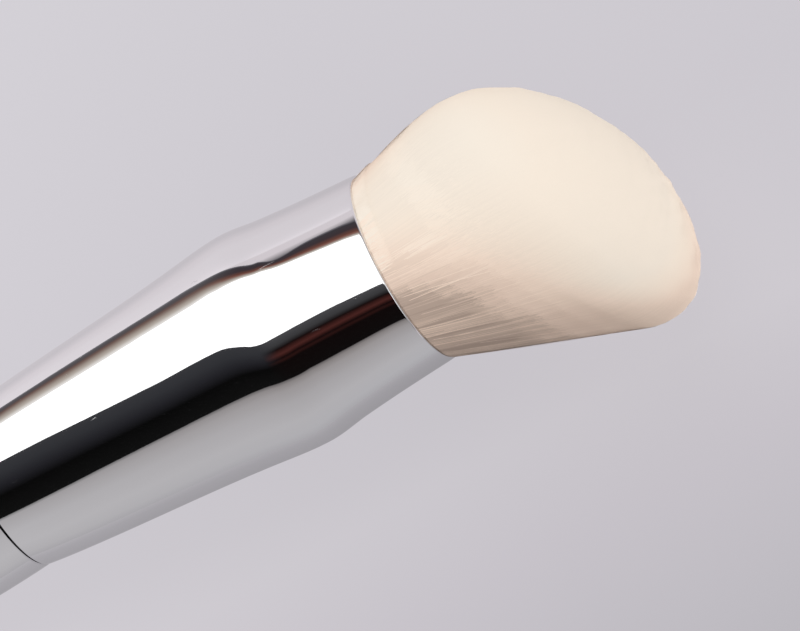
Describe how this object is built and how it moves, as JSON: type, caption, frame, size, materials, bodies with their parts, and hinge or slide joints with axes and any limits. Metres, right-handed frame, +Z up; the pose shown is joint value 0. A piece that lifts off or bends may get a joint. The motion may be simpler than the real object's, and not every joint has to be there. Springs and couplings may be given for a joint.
{
  "type": "foundation brush",
  "caption": "Foundation makeup brush with a slanted dome of dense soft fibres in a shouldered mirror-plated ferrule on a tapering mirror-plated handle.",
  "frame": {"origin": "on the table under the middle of the brush as it lies on its side: the centre of the bottom of its box", "axes": "+X along the brush towards its head, +Z up from the table, -Y towards the long side of the slanted head"},
  "size_m": [0.1668, 0.033, 0.0286],
  "materials": {
    "fibre": "matte",
    "ferrule_plate": "polished",
    "handle_plate": "polished",
    "cup_metal": "satin",
    "resin": "gloss",
    "coupler_plastic": "matte"
  },
  "bodies": {
    "root": {"bristle_head": "fibre", "ferrule": "ferrule_plate", "handle": "handle_plate", "knot_cup": "cup_metal", "root_resin": "resin", "coupler": "coupler_plastic"}
  },
  "joints": []
}
